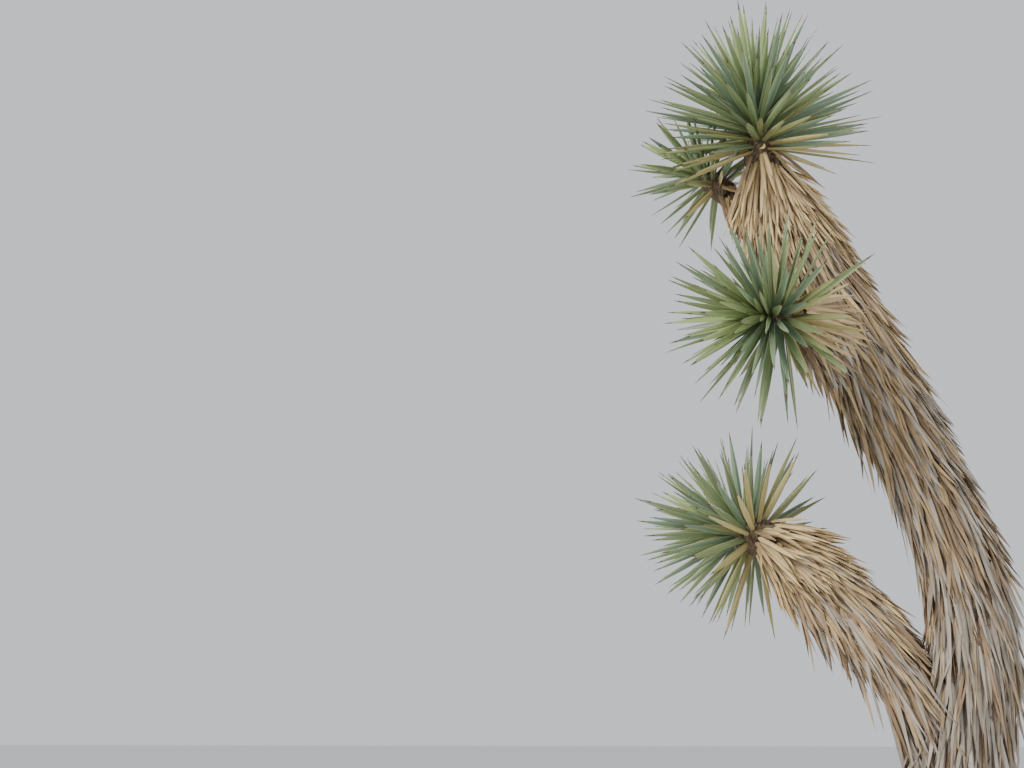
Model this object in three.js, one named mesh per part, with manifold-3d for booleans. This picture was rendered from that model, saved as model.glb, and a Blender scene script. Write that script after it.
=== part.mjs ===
// A Joshua tree about 3.3 m tall, in millimetres, +Z up. It stands on the flat cut under its trunk, and
// the origin is in the middle of that cut. The trunk forks at eye height into a long leaning leader and
// a shorter lower bough. The leader carries a short middle arm and, under its tip, a stub. Each of these
// four ends in a round head of stiff dagger leaves. Dead leaves lie back along the limbs as thatch.

import * as THREE from "three";
import { mergeVertices } from "three/addons/utils/BufferGeometryUtils.js";
import Module from "manifold-3d";

const wasm = await Module();
wasm.setup();

const DOWN = new THREE.Vector3(0, 0, -1);
const GOLDEN_ANGLE = Math.PI * (3 - Math.sqrt(5));
const CLEAR_GAP = 0.3; // between two nodes that meet

// The fork where the leader goes on from the trunk, and the way that both of them run there.
const FORK = new THREE.Vector3(200, 0, 1600);
const FORK_RISE = new THREE.Vector3(0.29, 0, 1).normalize();
const fromFork = (along) => FORK.clone().addScaledVector(FORK_RISE, along).toArray();

// Each limb is one cubic Bezier curve, foot first. Its radii are spaced evenly from foot to tip. Thatch
// says at what share of the limb its dead leaves start, how many there are and how long they are.
const LIMBS = {
  trunk: {
    curve: [[0, 0, 0], [0, 0, 600], fromFork(-520), fromFork(0)],
    radii: [138, 127, 121, 117, 114, 112, 111, 110, 106],
    rings: 25,
    sides: 32,
    thatch: { from: 0.47, count: 106, length: 215 },
    seed: 11,
  },
  leader: {
    curve: [fromFork(CLEAR_GAP), fromFork(455), [-123, 5, 2587], [-135, -100, 2921]],
    radii: [106, 103, 99, 98, 103, 113, 121, 112, 66],
    rings: 22,
    sides: 16,
    thatch: { from: 0.02, count: 104, length: 225 },
    seed: 23,
  },
  lower_bough: {
    curve: [[194, 4, 1450], [23, 24, 1693], [-91, -2, 1906], [-215, 62, 1967]],
    radii: [66, 84, 88, 87, 86, 85, 84, 80, 68],
    rings: 16,
    sides: 14,
    thatch: { from: 0.25, count: 58, length: 205 },
    seed: 37,
  },
  middle_arm: {
    curve: [[20, -40, 2350], [-5, -120, 2402], [-43, -194, 2432], [-88, -235, 2429]],
    radii: [70, 78, 78, 76, 70, 56],
    rings: 8,
    sides: 12,
    thatch: { from: 0.5, count: 20, length: 150 },
    seed: 41,
  },
  upper_stub: {
    curve: [[-130, -55, 2775], [-165, -50, 2800], [-199, -32, 2840], [-239, -36, 2882]],
    radii: [44, 50, 50, 40],
    rings: 6,
    sides: 10,
    thatch: { from: 0.5, count: 12, length: 150 },
    seed: 53,
  },
};

// Each head of leaves grows on the end of one limb, along that limb's last direction. Its stem is the
// core that the leaves stand out of, and widest is the angle from the stem of its oldest leaves.
const HEADS = {
  crown_head: { on: "leader", stem: 153, thick: 46, leaves: 172, length: 300, widest: 104, seed: 247 },
  lower_head: { on: "lower_bough", stem: 125, thick: 48, leaves: 152, length: 272, widest: 104, seed: 14 },
  middle_head: { on: "middle_arm", stem: 91, thick: 42, leaves: 118, length: 252, widest: 104, seed: 263 },
  upper_head: { on: "upper_stub", stem: 126, thick: 32, leaves: 54, length: 216, widest: 104, seed: 388 },
};

// Live leaves turn a little off their even places and twist on their own axis. The oldest sag, and the
// youngest are shorter. Shares are of the head's stem or of a full leaf, and angles are in radians.
const LEAF = { width: 18, thickness: 6, widestAt: 0.4 };
const LIVE = {
  turn: 0.1,
  lean: 0.07,
  twist: 0.9,
  sag: 0.05,
  youngest: 0.92,
  roots: [0.9, 0.26],
  lengths: [0.8, 1.06],
};

// Dead leaves point back down the limb. Pull is how far their weight turns them down, and lift is how
// far their tips stand off the limb.
const DEAD_LEAF = { width: 22, thickness: 5, widestAt: 0.4 };
const DEAD = {
  turn: 0.3,
  pull: [0.5, 1.1],
  lift: [0.2, 0.34],
  lengths: [0.75, 1.1],
  rootDepth: 30,
  lastAt: 0.97,
};

const LEAF_CLEARANCE = 1; // added all round a leaf where it is tried against its neighbours

const ROOT_FLARE = { reach: 150, spread: 0.34, lobes: 5, lobeShare: 0.3, turn: 0.7 };
const UNEVENNESS = 0.028; // of a limb's radius

// The trunk's corky bark stands in long ridges that wind a little round it, with furrows between them.
// Each ridge swells and shrinks along its length, out of step with the next. The bark thins out under
// the dead leaves, between two shares of the trunk.
const RIDGES = {
  count: 8,
  height: 18,
  mean: 0.7,
  swell: 0.25,
  swellLength: 250,
  swellStep: 2.4,
  wind: 0.3,
  windLength: 820,
  thins: [0.45, 0.9],
};

const BARK = { color: 0x6b5d4f, roughness: 0.95, metalness: 0 };
const THATCH = { color: 0x8a7a60, roughness: 0.9, metalness: 0 };
const GREEN = { color: 0x5f7350, roughness: 0.6, metalness: 0 };

// A seeded generator of numbers from 0 to 1 (mulberry32).
function seeded(seed) {
  let state = seed >>> 0;
  return () => {
    state = (state + 0x6d2b79f5) >>> 0;
    let t = state;
    t = Math.imul(t ^ (t >>> 15), t | 1);
    t ^= t + Math.imul(t ^ (t >>> 7), t | 61);
    return ((t ^ (t >>> 14)) >>> 0) / 4294967296;
  };
}

const lerp = THREE.MathUtils.lerp;
const vector = (p) => new THREE.Vector3(...p);

// Points and triangles as a solid.
function solid(points, triangles) {
  const geometry = new THREE.BufferGeometry().setFromPoints(points);
  geometry.setIndex(triangles.flat());
  const merged = mergeVertices(geometry, 1e-4);
  return new wasm.Manifold(
    new wasm.Mesh({
      numProp: 3,
      vertProperties: merged.attributes.position.array,
      triVerts: new Uint32Array(merged.index.array),
    }),
  );
}

// Joins a list of solids pair by pair, so that the large ones are joined last.
function join(solids) {
  let left = solids;
  while (left.length > 1) {
    const next = [];
    for (let i = 0; i < left.length; i += 2) {
      next.push(i + 1 < left.length ? left[i].add(left[i + 1]) : left[i]);
    }
    left = next;
  }
  return left[0];
}

function radiusAt(radii, share) {
  const place = Math.min(Math.max(share, 0), 1) * (radii.length - 1);
  const i = Math.min(Math.floor(place), radii.length - 2);
  return lerp(radii[i], radii[i + 1], place - i);
}

function curveOf(limb) {
  return new THREE.CubicBezierCurve3(...limb.curve.map(vector));
}

// A function from an angle to the direction across a limb there. It starts beside the Y axis, which no
// limb runs along, so a limb's rings never spin.
function acrossAt(tangent) {
  const side = new THREE.Vector3().crossVectors(tangent, new THREE.Vector3(0, 1, 0)).normalize();
  const back = new THREE.Vector3().crossVectors(tangent, side);
  return (angle) => side.clone().multiplyScalar(Math.cos(angle)).addScaledVector(back, Math.sin(angle));
}

// The trunk spreads at the ground into low root buttresses.
function flareAt(height, angle) {
  const lobes = 1 + ROOT_FLARE.lobeShare * Math.cos(ROOT_FLARE.lobes * angle + ROOT_FLARE.turn);
  return 1 + ROOT_FLARE.spread * Math.exp(-height / ROOT_FLARE.reach) * lobes;
}

// How far the trunk's ridges of bark have wound round it at a height.
function windAt(height) {
  return RIDGES.wind * Math.sin((2 * Math.PI * height) / RIDGES.windLength);
}

// How far the bark stands out from the trunk's mean surface. It is rounded over each ridge.
function barkAt(share, angle, height) {
  const around = ((angle - windAt(height)) / (2 * Math.PI)) * RIDGES.count;
  const ridge = Math.floor(around);
  const across = Math.sqrt(Math.max(0, Math.sin(Math.PI * (around - ridge))));
  const swell = Math.sin((2 * Math.PI * height) / RIDGES.swellLength + RIDGES.swellStep * ridge);
  const bare = 1 - THREE.MathUtils.smoothstep(share, ...RIDGES.thins);
  return RIDGES.height * bare * (across * (1 - RIDGES.swell + RIDGES.swell * swell) - RIDGES.mean);
}

// A limb's radius at an angle, a little uneven. The trunk is flared at its foot and has its bark.
function radiusOf(limb, share, angle, height) {
  const uneven = Math.sin(3 * angle + 9 * share + limb.seed) + Math.sin(2 * angle - 17 * share);
  const radius = radiusAt(limb.radii, share) * (1 + UNEVENNESS * uneven);
  return limb === LIMBS.trunk ? radius * flareAt(height, angle) + barkAt(share, angle, height) : radius;
}

// A closed tube along a limb, with flat ends. Grow widens and lengthens it, for cutting its neighbours.
function limbSolid(limb, grow = 0) {
  const curve = curveOf(limb);
  const centreAt = (share) => {
    const lengthened = { 0: -grow, 1: grow }[share] ?? 0;
    return curve.getPoint(share).addScaledVector(curve.getTangent(share), lengthened);
  };
  const points = [];
  for (let ring = 0; ring <= limb.rings; ring += 1) {
    const share = ring / limb.rings;
    const centre = centreAt(share);
    const outward = acrossAt(curve.getTangent(share));
    for (let i = 0; i < limb.sides; i += 1) {
      const angle = (i / limb.sides) * 2 * Math.PI + (limb === LIMBS.trunk ? windAt(centre.z) : 0);
      const radius = radiusOf(limb, share, angle, centre.z) + grow;
      points.push(centre.clone().addScaledVector(outward(angle), radius));
    }
  }
  const foot = points.length;
  points.push(centreAt(0), centreAt(1));
  const triangles = [];
  for (let i = 0; i < limb.sides; i += 1) {
    const j = (i + 1) % limb.sides;
    for (let ring = 0; ring < limb.rings; ring += 1) {
      const a = ring * limb.sides;
      const b = a + limb.sides;
      triangles.push([a + i, a + j, b + j], [a + i, b + j, b + i]);
    }
    const last = limb.rings * limb.sides;
    triangles.push([foot, j, i], [foot + 1, last + i, last + j]);
  }
  return solid(points, triangles);
}

// A stiff leaf of eight faces: a point at its root, a diamond where it is widest and a point at its tip.
function leafSolid(leaf, extra = 0) {
  const normal = new THREE.Vector3().crossVectors(leaf.direction, leaf.wide);
  const middle = leaf.root.clone().addScaledVector(leaf.direction, leaf.length * leaf.shape.widestAt);
  const tip = leaf.root.clone().addScaledVector(leaf.direction, leaf.length + extra);
  const halfWidth = leaf.shape.width / 2 + extra;
  const halfThickness = leaf.shape.thickness / 2 + extra;
  const points = [
    leaf.root,
    middle.clone().addScaledVector(leaf.wide, halfWidth),
    middle.clone().addScaledVector(normal, halfThickness),
    middle.clone().addScaledVector(leaf.wide, -halfWidth),
    middle.clone().addScaledVector(normal, -halfThickness),
    tip,
  ];
  const triangles = [];
  for (let i = 0; i < 4; i += 1) {
    const j = (i + 1) % 4;
    triangles.push([1 + i, 1 + j, 5], [1 + j, 1 + i, 0]);
  }
  return solid(points, triangles);
}

// The live leaves of a head, youngest first. They stand evenly all round the stem at the golden angle,
// from nearly upright at its tip to bent back past square at its foot.
function headLeaves(head) {
  const random = seeded(head.seed);
  const curve = curveOf(LIMBS[head.on]);
  const foot = curve.getPoint(1);
  const axis = curve.getTangent(1);
  const spread = 1 - Math.cos(THREE.MathUtils.degToRad(head.widest));
  const either = (range) => lerp(-range, range, random());
  const leaves = [];
  for (let i = 0; i < head.leaves; i += 1) {
    const age = (i + 0.5) / head.leaves;
    const outward = acrossAt(axis)(i * GOLDEN_ANGLE + either(LIVE.turn));
    const lean = Math.acos(1 - age * spread) + either(LIVE.lean);
    const direction = axis.clone().multiplyScalar(Math.cos(lean)).addScaledVector(outward, Math.sin(lean));
    direction.addScaledVector(DOWN, LIVE.sag * age * age).normalize();
    const wide = new THREE.Vector3().crossVectors(axis, outward);
    wide.addScaledVector(direction, -wide.dot(direction)).normalize();
    wide.applyAxisAngle(direction, either(LIVE.twist));
    const grown = lerp(LIVE.youngest, 1, Math.sin(Math.PI * Math.min(0.5, age)));
    leaves.push({
      root: foot.clone().addScaledVector(axis, head.stem * lerp(...LIVE.roots, age)),
      direction,
      wide,
      length: head.length * grown * lerp(...LIVE.lengths, random()),
      shape: LEAF,
    });
  }
  return leaves;
}

// The short stem inside a head, from just clear of its limb to a blunt tip.
function headStem(head) {
  const curve = curveOf(LIMBS[head.on]);
  const axis = curve.getTangent(1);
  const foot = curve.getPoint(1).addScaledVector(axis, CLEAR_GAP);
  const along = (share) => foot.clone().addScaledVector(axis, share * head.stem).toArray();
  return limbSolid({
    curve: [along(0), along(1 / 3), along(2 / 3), along(1)],
    radii: [head.thick, head.thick * 1.04, head.thick * 0.8, head.thick * 0.36],
    rings: 4,
    sides: 8,
    seed: head.seed,
  });
}

// Dead leaves that lie back along a limb. Their own weight pulls them down, so they hang free of its
// underside and are held off its top only by the leaves beneath.
function thatchLeaves(limb) {
  const random = seeded(limb.seed);
  const curve = curveOf(limb);
  const { from, count, length } = limb.thatch;
  const leaves = [];
  for (let i = 0; i < count; i += 1) {
    const share = lerp(from, DEAD.lastAt, (i + random()) / count);
    const tangent = curve.getTangent(share);
    const outward = acrossAt(tangent)(i * GOLDEN_ANGLE + lerp(-DEAD.turn, DEAD.turn, random()));
    const pulled = tangent.clone().negate().addScaledVector(DOWN, lerp(...DEAD.pull, random()));
    const direction = pulled.normalize();
    const lift = lerp(...DEAD.lift, random());
    direction.addScaledVector(outward, Math.max(0, lift - direction.dot(outward))).normalize();
    leaves.push({
      root: curve.getPoint(share).addScaledVector(outward, radiusAt(limb.radii, share) - DEAD.rootDepth),
      direction,
      wide: new THREE.Vector3().crossVectors(direction, outward).normalize(),
      length: length * lerp(...DEAD.lengths, random()),
      shape: DEAD_LEAF,
    });
  }
  return leaves;
}

function boxesMeet(a, b) {
  return [0, 1, 2].every((k) => a.min[k] <= b.max[k] && b.min[k] <= a.max[k]);
}

// True where a leaf, with its clearance, touches none of the solids.
function isClear(leaf, others) {
  const fat = leafSolid(leaf, LEAF_CLEARANCE);
  const box = fat.boundingBox();
  const near = others.filter((other) => boxesMeet(box, other.boundingBox()));
  return near.every((other) => fat.intersect(other).isEmpty());
}

// Fuses the leaves that touch no other node onto a stem or limb.
function leafy(stem, leaves, others) {
  const kept = leaves.filter((leaf) => isClear(leaf, others));
  return join([...kept.map((leaf) => leafSolid(leaf)), stem]);
}

// The bare limbs and stems. Where a limb grows out of another, the younger is cut back to clear the older.
const nodes = {};
for (const [name, limb] of Object.entries(LIMBS)) {
  nodes[name] = Object.keys(nodes).reduce(
    (cut, older) => cut.subtract(limbSolid(LIMBS[older], CLEAR_GAP)),
    limbSolid(limb),
  );
}
for (const [name, head] of Object.entries(HEADS)) nodes[name] = headStem(head);

// Then the leaves, the heads' before the thatch. Each leaf stays clear of every other node made so far.
for (const [name, made] of Object.entries({ ...HEADS, ...LIMBS })) {
  const leaves = name in HEADS ? headLeaves(made) : thatchLeaves(made);
  const others = Object.keys(nodes).filter((other) => other !== name);
  nodes[name] = leafy(nodes[name], leaves, others.map((other) => nodes[other]));
}

// A solid as a mesh whose own origin is at its foot.
function meshOf(name, made, foot, finish) {
  const { vertProperties, triVerts } = made.getMesh();
  const geometry = new THREE.BufferGeometry();
  geometry.setAttribute("position", new THREE.BufferAttribute(vertProperties, 3));
  geometry.setIndex(new THREE.BufferAttribute(triVerts, 1));
  geometry.translate(-foot.x, -foot.y, -foot.z);
  geometry.computeVertexNormals();
  const mesh = new THREE.Mesh(geometry, new THREE.MeshStandardMaterial(finish));
  mesh.name = name;
  mesh.position.copy(foot);
  return mesh;
}

const tree = new THREE.Group();
for (const [name, limb] of Object.entries(LIMBS)) {
  tree.add(meshOf(name, nodes[name], vector(limb.curve[0]), name === "trunk" ? BARK : THATCH));
}
for (const [name, head] of Object.entries(HEADS)) {
  tree.add(meshOf(name, nodes[name], vector(LIMBS[head.on].curve[3]), GREEN));
}

export default tree;
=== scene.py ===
# The looks of a Joshua tree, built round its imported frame, in metres. The limbs and the heads of leaves
# follow the curves and rules of the frame's solids, with many more and finer leaves.

import math

import bpy
import numpy as np
from numpy.random import default_rng
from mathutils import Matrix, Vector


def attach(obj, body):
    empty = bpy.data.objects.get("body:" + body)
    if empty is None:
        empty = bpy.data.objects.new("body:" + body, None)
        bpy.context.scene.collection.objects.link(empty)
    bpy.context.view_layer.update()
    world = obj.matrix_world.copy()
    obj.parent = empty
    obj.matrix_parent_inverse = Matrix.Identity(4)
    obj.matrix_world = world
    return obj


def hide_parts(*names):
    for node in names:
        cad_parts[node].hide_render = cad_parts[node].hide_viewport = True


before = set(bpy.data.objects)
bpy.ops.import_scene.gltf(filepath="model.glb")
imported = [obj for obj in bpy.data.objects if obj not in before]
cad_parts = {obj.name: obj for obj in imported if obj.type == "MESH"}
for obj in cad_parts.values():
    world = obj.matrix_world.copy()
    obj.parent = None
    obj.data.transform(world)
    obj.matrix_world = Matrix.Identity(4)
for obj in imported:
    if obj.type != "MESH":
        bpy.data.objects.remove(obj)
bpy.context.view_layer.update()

GOLDEN_ANGLE = math.pi * (3 - math.sqrt(5))
DOWN = np.array([0.0, 0.0, -1.0])
MM = 1000  # millimetres in a metre


def unit(v):
    v = np.asarray(v, float)
    return v / np.linalg.norm(v, axis=-1, keepdims=True)


def seeded(seed, count):
    """Numbers from 0 to 1 by the frame's own generator (mulberry32), so the heads have the same leaves."""
    mask = 0xFFFFFFFF
    state = seed
    numbers = []
    for _ in range(count):
        state = (state + 0x6D2B79F5) & mask
        t = ((state ^ (state >> 15)) * (state | 1)) & mask
        t ^= (t + (t ^ (t >> 7)) * (t | 61)) & mask
        numbers.append(((t ^ (t >> 14)) & mask) / 2**32)
    return np.array(numbers)


# The limbs, as in the frame: a cubic Bezier curve each, with radii spaced evenly from foot to tip. Places
# along a limb are given as a share of its curve. It is clear of the limb it grows on past free_from. Its
# thatch of dead leaves starts at from, is pulled down by its weight, and lies lower where it is worn.
FORK = np.array([0.200, 0.0, 1.600])
FORK_RISE = unit([0.29, 0.0, 1.0])
LIMBS = {
    "trunk": {
        "curve": [(0, 0, 0), (0, 0, 0.600), FORK - 0.520 * FORK_RISE, FORK],
        "radii": (0.138, 0.127, 0.121, 0.117, 0.114, 0.112, 0.111, 0.110, 0.106),
        "free_from": 0.0,
        "thatch": {"from": 0.50, "count": 1500, "length": 0.215, "pull": (0.1, 0.55)},
        "seed": 11,
    },
    "leader": {
        "curve": [FORK, FORK + 0.455 * FORK_RISE, (-0.123, 0.005, 2.587), (-0.135, -0.100, 2.921)],
        "radii": (0.106, 0.103, 0.099, 0.098, 0.103, 0.113, 0.121, 0.112, 0.066),
        "free_from": 0.0,
        "goes_on_from": "trunk",
        "thatch": {"from": 0.0, "count": 2900, "length": 0.225, "pull": (0.0, 0.35), "worn": 0.008},
        "seed": 23,
    },
    "lower_bough": {
        "curve": [
            (0.194, 0.004, 1.450), (0.023, 0.024, 1.693),
            (-0.091, -0.002, 1.906), (-0.215, 0.062, 1.967),
        ],
        "radii": (0.066, 0.084, 0.088, 0.087, 0.086, 0.085, 0.084, 0.080, 0.068),
        "free_from": 0.22,
        "thatch": {"from": 0.08, "count": 1150, "length": 0.205, "pull": (0.0, 0.3)},
        "seed": 37,
    },
    "middle_arm": {
        "curve": [
            (0.020, -0.040, 2.350), (-0.005, -0.120, 2.402),
            (-0.043, -0.194, 2.432), (-0.088, -0.235, 2.429),
        ],
        "radii": (0.070, 0.078, 0.078, 0.076, 0.070, 0.056),
        "free_from": 0.45,
        "thatch": {"from": 0.30, "count": 210, "length": 0.120, "pull": (0.0, 0.3)},
        "seed": 41,
    },
    "upper_stub": {
        "curve": [
            (-0.130, -0.055, 2.775), (-0.165, -0.050, 2.800),
            (-0.199, -0.032, 2.840), (-0.239, -0.036, 2.882),
        ],
        "radii": (0.044, 0.050, 0.050, 0.040),
        "free_from": 0.45,
        "thatch": {"from": 0.25, "count": 130, "length": 0.150, "pull": (0.0, 0.5)},
        "seed": 53,
    },
}

# The heads of live leaves, as in the frame, each on a stem at the end of one limb.
HEADS = {
    "crown_head": {
        "on": "leader", "stem": 0.153, "thick": 0.046,
        "leaves": 172, "length": 0.300, "seed": 247,
    },
    "lower_head": {
        "on": "lower_bough", "stem": 0.125, "thick": 0.048,
        "leaves": 152, "length": 0.272, "seed": 14,
    },
    "middle_head": {
        "on": "middle_arm", "stem": 0.091, "thick": 0.042,
        "leaves": 118, "length": 0.252, "seed": 263,
    },
    "upper_head": {
        "on": "upper_stub", "stem": 0.126, "thick": 0.032,
        "leaves": 54, "length": 0.216, "seed": 388,
    },
}

# The live leaves. As in the frame are the lean of the oldest, in degrees, how far each turns, leans, twists
# and sags off its even place, and where they are rooted and how long they are, as shares.
LEAF_WIDTH = 0.0160
LIVE = {
    "widest": 104, "turn": 0.1, "lean": 0.07, "twist": 0.9, "sag": 0.05,
    "youngest": 0.92, "roots": (0.9, 0.26), "lengths": (0.8, 1.06),
    "widths": (0.92, 1.08), "bend": 0.010, "curl": 0.25, "cups": (0.8, 1.25),
}

# The youngest leaves at the tip of the stem, one for every few grown ones. Lean, in degrees, length and
# width are given as at the tip and what the foot adds. Sway is what chance adds to the lean.
BUDS = {
    "one_in": 4, "turn": 0.2, "lean": (4, 50), "sway": 4, "roots": 0.2,
    "length": (0.32, 0.36), "lengths": (0.85, 1.1), "width": (0.62, 0.3),
    "bend": 0.008, "curl": 0.2, "cups": (1.0, 1.5), "oldest": 0.1,
}

# The dead leaves of a limb. They turn fresh and end being worn between the shares given for it. Rise is how
# far their tips lie over the limb's outside: more where fresh or on its upper side, less on its underside.
DEAD_LEAF_WIDTH = 0.0112
THATCH_DEPTH = 0.026  # between a limb's fibrous core and the outside of its pressed thatch
PRESSED = 0.017  # how far under that outside the tips of the lowest leaves are
THATCH = {
    "until": 0.99, "turn": 0.3, "sideways": 0.09, "rooted": 0.004,
    "fresh": (0.76, 1.0), "worn": (0.35, 0.60), "lengths": (0.60, 1.08),
    "rise": (-0.020, 0.008), "rise_fresh": 0.024, "fresh_over": 0.7, "rise_under": 0.010, "rise_over": 0.005,
    "twist": 0.45, "widths": (0.7, 1.25), "bend": 0.035, "sag": 0.0, "curl": 0.6, "cups": (0.5, 1.6),
}
COLLAR = {"from": 0.86, "more": 0.22, "jitter": 0.002}  # the thicker thatch under a head

# Some dead leaves hang nearly straight down, most of them from the underside of a leaning limb. From is
# how far a side of the limb faces down.
HANGING = {
    "from": (0.10, 0.36), "anywhere": 0.02, "under": 0.20,
    "pull": (0.6, 2.4), "lengths": (0.7, 1.0), "out": 0.008,
}

# Here and there the leaves are shorter and stand off the limb together in a tuft.
TUFTS = {"from": (0.35, 1.0), "scale": 30.0, "shorter": 0.38, "rise": 0.044, "seed": 5}

# The newest dead leaves, which hang behind the live ones. Lean, in degrees, and along, a share of the stem,
# are given as for the newest and the change to the oldest. A power more_old below 1 makes more of them old.
SKIRT = {
    "share": 0.45, "turn": 0.3, "lean": (140, 30), "more_old": 0.6, "pull": (0.0, 0.35),
    "along": (0.30, 0.55), "on_limb": 0.016, "on_stem": 0.7,
    "lengths": (0.40, 0.68), "rise": (0.005, 0.04),
    "widths": (0.8, 1.2), "bend": 0.04, "sag": 0.05, "curl": 0.6, "cups": (0.6, 1.4),
}

# The most that a leaf's tip is pushed out of its own limb or another, as a share of its length. Past the
# share flat it only comes out to the lowest leaves.
PUSH = {"own": 0.85, "other": 0.4, "flat": 0.3, "rounds": 2}

# Added to the seed of a head or a limb, so that each of these has draws of its own.
OWN_SEED = {"buds": 900, "skirt": 500, "greens": 9, "weather": 3}

LIMB_STEPS = 60  # places along a limb where a leaf's distance from it is measured
CLEARANCE = 0.004  # kept between leaves and the ground, and the most that live leaves sink in a limb
LIVE_TRIED = (0.35, 0.55, 0.75, 0.95)  # shares of a live leaf where it is tried against the limbs
DEAD_TRIED = (0.3, 1.0, 13)  # the first and the last such share of a dead leaf, and their number
SHORTEST_CUT = 0.35  # the least share of a dead leaf that is left on the tree
DEAD_SUNK = THATCH_DEPTH - 0.006  # the most that a dead leaf sinks in another limb


def smoothstep(low, high, x):
    t = np.clip((x - low) / (high - low), 0, 1)
    return t * t * (3 - 2 * t)


def at_least(low, x):
    """X from 0 to 1, carried to the range from low to 1."""
    return low + (1 - low) * x


SOFT_NOISE = {"waves": 9, "octaves": 4, "fade": 1.6, "sum": 1.5}


def smooth_noise(points, scale, seed):
    """Soft noise, mostly from -1 to 1, made of a few turned waves."""
    rng = default_rng(seed)
    count, fade = SOFT_NOISE["waves"], SOFT_NOISE["fade"]
    total = np.zeros(len(points))
    for octave in range(SOFT_NOISE["octaves"]):
        waves = unit(rng.normal(size=(count, 3))) * scale * 2**octave
        phases = rng.uniform(0, math.tau, count)
        total += np.sin(points @ waves.T + phases).sum(axis=1) / count**0.5 / fade**octave
    return total / SOFT_NOISE["sum"]


def bezier(limb, share):
    p = np.array(limb["curve"], float)
    t = np.atleast_1d(share)[:, None]
    return (1 - t) ** 3 * p[0] + 3 * t * (1 - t) ** 2 * p[1] + 3 * t * t * (1 - t) * p[2] + t**3 * p[3]


def bezier_tangent(limb, share):
    p = np.array(limb["curve"], float)
    t = np.atleast_1d(share)[:, None]
    return unit((1 - t) ** 2 * (p[1] - p[0]) + 2 * t * (1 - t) * (p[2] - p[1]) + t * t * (p[3] - p[2]))


def radius_at(limb, share):
    return np.interp(share, np.linspace(0, 1, len(limb["radii"])), limb["radii"])


def outward_at(tangent, angle):
    """The direction out of a limb at an angle round it, counted from the one that is square to Y."""
    side = unit(np.cross(tangent, [0.0, 1.0, 0.0]))
    back = np.cross(tangent, side)
    angle = np.asarray(angle)[..., None]
    return side * np.cos(angle) + back * np.sin(angle)


def twisted(wide, direction, angle):
    """The direction across each leaf, turned by an angle round the leaf."""
    angle = angle[:, None]
    return wide * np.cos(angle) + np.cross(direction, wide) * np.sin(angle)


# Meshes.

SMOOTH = 180  # degrees, for a mesh without sharp edges
LIVE_SHARP = 40
DEAD_SHARP = 50


def make_mesh(name, points, triangles, materials, face_material, attribute, sharp):
    """One mesh object from arrays. Face_material is one number or one for each triangle. The attribute is
    a name and one number or vector for each point."""
    mesh = bpy.data.meshes.new(name)
    mesh.vertices.add(len(points))
    mesh.vertices.foreach_set("co", np.asarray(points, np.float32).ravel())
    mesh.loops.add(3 * len(triangles))
    mesh.loops.foreach_set("vertex_index", np.asarray(triangles, np.int32).ravel())
    mesh.polygons.add(len(triangles))
    mesh.polygons.foreach_set("loop_start", np.arange(0, 3 * len(triangles), 3, dtype=np.int32))
    mesh.polygons.foreach_set("material_index", np.full(len(triangles), face_material, np.int32))
    mesh.update(calc_edges=True)
    mesh.validate()
    for material in materials:
        mesh.materials.append(material)
    label, values = attribute
    kind, key = ("FLOAT", "value") if np.ndim(values) == 1 else ("FLOAT_VECTOR", "vector")
    data = mesh.attributes.new(label, kind, "POINT").data
    data.foreach_set(key, np.asarray(values, np.float32).ravel())
    mesh.shade_smooth()
    mesh.set_sharp_from_angle(angle=math.radians(sharp))
    made = bpy.data.objects.new(name, mesh)
    bpy.context.scene.collection.objects.link(made)
    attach(made, "root")
    return made


def grid_triangles(rows, columns):
    """The triangles of a tube of rows of points, closed round its columns."""
    row, column = np.meshgrid(np.arange(rows - 1), np.arange(columns), indexing="ij")
    a = (row * columns + column).ravel()
    b = (row * columns + (column + 1) % columns).ravel()
    c = b + columns
    d = a + columns
    return np.vstack([np.c_[a, b, c], np.c_[a, c, d]])


def closed_tube(name, points, rows, columns, ends, relief, material):
    """A mesh of a tube whose two ends are closed to a point each. Relief is the height of every point."""
    k = np.arange(columns)
    last = (rows - 1) * columns
    foot_cap = np.c_[np.full(columns, len(points)), (k + 1) % columns, k]
    tip_cap = np.c_[np.full(columns, len(points) + 1), last + k, last + (k + 1) % columns]
    triangles = np.vstack([grid_triangles(rows, columns), foot_cap, tip_cap])
    points = np.vstack([points, ends])
    return make_mesh(name, points, triangles, [material], 0, ("relief", relief), SMOOTH)


# The zones of a leaf, which have their own materials.
BLADE, EDGE, SPINE, BASE = range(4)


def leaf_pattern(profile):
    """The triangles of one leaf, a tube of rows from its root to the point at its tip, and their zones."""
    rows, columns = len(profile["along"]), len(profile["across"])
    last = (rows - 1) * columns
    k = np.arange(columns)
    fan = np.c_[last + k, last + (k + 1) % columns, np.full(columns, rows * columns)]
    root_cap = np.array([[0, i + 1, i] for i in range(1, columns - 1)])
    pattern = np.vstack([grid_triangles(rows, columns), fan, root_cap])
    tube_zone = np.tile(np.where(np.isin(k, profile["margin"]), EDGE, BLADE), 2 * (rows - 1))
    tube_rows = np.tile(np.repeat(np.arange(rows - 1), columns), 2)
    tube_zone[tube_rows >= profile["spine_row"]] = SPINE
    tube_zone[tube_rows < profile["base_rows"]] = BASE
    return pattern, np.concatenate([tube_zone, np.full(columns, SPINE), np.full(columns - 2, BLADE)])


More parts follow.
